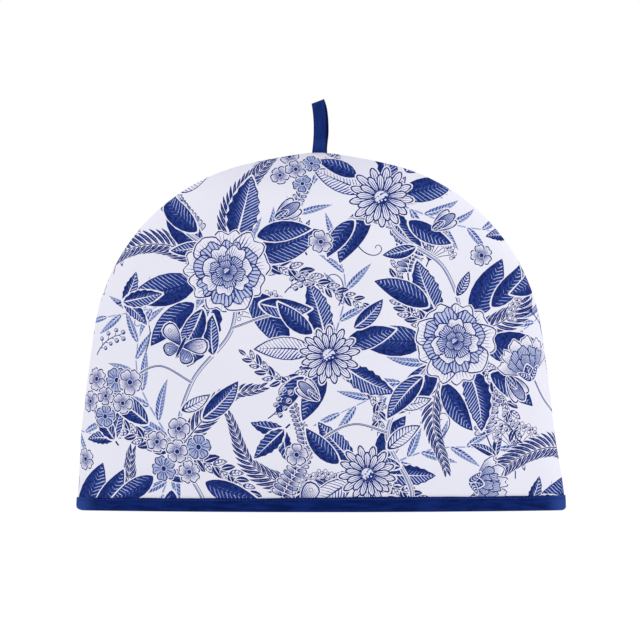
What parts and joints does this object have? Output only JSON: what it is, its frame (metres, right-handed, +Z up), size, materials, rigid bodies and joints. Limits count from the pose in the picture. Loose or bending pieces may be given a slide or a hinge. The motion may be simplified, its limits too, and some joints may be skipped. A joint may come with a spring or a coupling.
{
  "type": "tea cosy",
  "caption": "Padded cotton tea cosy: two domed printed panels on an arched seam, bound hem, tape loop at the crown, hollow for a teapot.",
  "frame": {"origin": "middle of the hem, on the surface that the cosy stands on", "axes": "+X across the front, +Y from front to back, +Z up; the front faces -Y"},
  "size_m": [0.355, 0.1236, 0.298],
  "materials": {
    "printed_cotton": "matt white cotton with a navy print",
    "navy_tape": "matt navy woven tape"
  },
  "bodies": {
    "root": {"front_panel": "printed_cotton", "back_panel": "printed_cotton", "hem_binding": "navy_tape", "hanging_loop": "navy_tape"}
  },
  "joints": []
}
